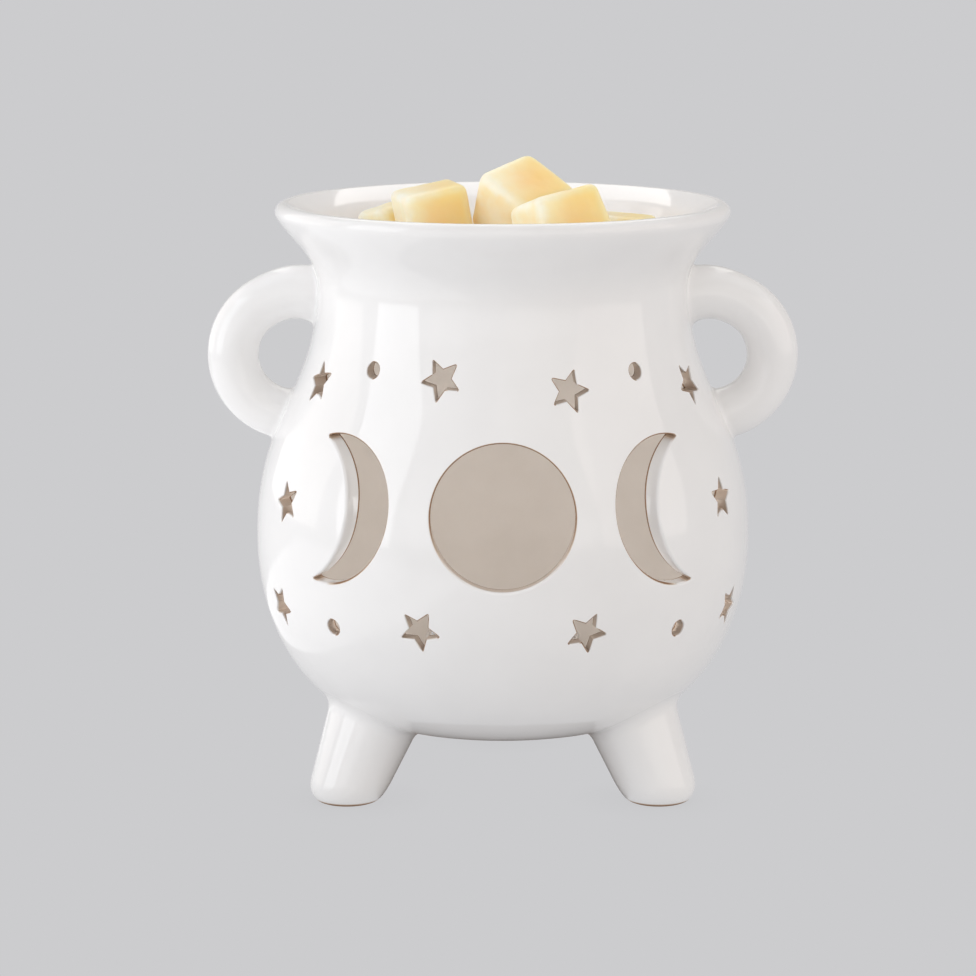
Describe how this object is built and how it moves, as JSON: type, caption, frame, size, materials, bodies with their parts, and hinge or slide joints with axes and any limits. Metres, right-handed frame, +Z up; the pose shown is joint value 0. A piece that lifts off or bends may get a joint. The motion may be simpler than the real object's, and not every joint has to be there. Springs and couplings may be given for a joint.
{
  "type": "cauldron oil burner",
  "caption": "Glazed ceramic cauldron on splayed legs with loop handles and moon and star cut-outs; a tealight in the pot warms wax melts or oil in a lift-out dish in its mouth.",
  "frame": {"origin": "on the ground under the middle of the pot", "axes": "+Z up, -Y towards the front with the full-moon cut-out, +X through the right handle as seen from the front"},
  "size_m": [0.1444, 0.1208, 0.1542],
  "materials": {
    "white_glaze": "glossy white glaze, bare clay under the feet",
    "dish_glaze": "glossy white glaze",
    "melt_wax": "translucent pale yellow wax",
    "candle_wax": "white paraffin wax",
    "cup_foil": "drawn sheet",
    "tin": "tinned sheet",
    "wick_cotton": "waxed cotton braid"
  },
  "bodies": {
    "cauldron": {"cauldron_body": "white_glaze", "left_handle": "white_glaze", "right_handle": "white_glaze", "front_left_leg": "white_glaze", "front_right_leg": "white_glaze", "rear_leg": "white_glaze"},
    "dish": {"oil_dish": "dish_glaze"},
    "tealight": {"tealight_cup": "cup_foil", "tealight_wax": "candle_wax", "wick_sustainer": "tin", "tealight_wick": "wick_cotton"},
    "melt_left": {"wax_melt_left": "melt_wax"},
    "melt_back": {"wax_melt_back": "melt_wax"},
    "melt_top": {"wax_melt_top": "melt_wax"},
    "melt_front": {"wax_melt_front": "melt_wax"},
    "melt_right": {"wax_melt_right": "melt_wax"}
  },
  "joints": [
    {"name": "dish_lift", "type": "slide", "parent": "cauldron", "child": "dish", "axis": [0, 0, 1], "range_m": [0, 0.06]},
    {"name": "tealight_lift", "type": "slide", "parent": "cauldron", "child": "tealight", "axis": [0, 0, 1], "range_m": [0, 0.07]},
    {"name": "melt_left_lift", "type": "slide", "parent": "dish", "child": "melt_left", "axis": [0, 0, 1], "range_m": [0, 0.04]},
    {"name": "melt_back_lift", "type": "slide", "parent": "dish", "child": "melt_back", "axis": [0, 0, 1], "range_m": [0, 0.04]},
    {"name": "melt_top_lift", "type": "slide", "parent": "dish", "child": "melt_top", "axis": [0, 0, 1], "range_m": [0, 0.04]},
    {"name": "melt_front_lift", "type": "slide", "parent": "dish", "child": "melt_front", "axis": [0, 0, 1], "range_m": [0, 0.04]},
    {"name": "melt_right_lift", "type": "slide", "parent": "dish", "child": "melt_right", "axis": [0, 0, 1], "range_m": [0, 0.04]}
  ]
}
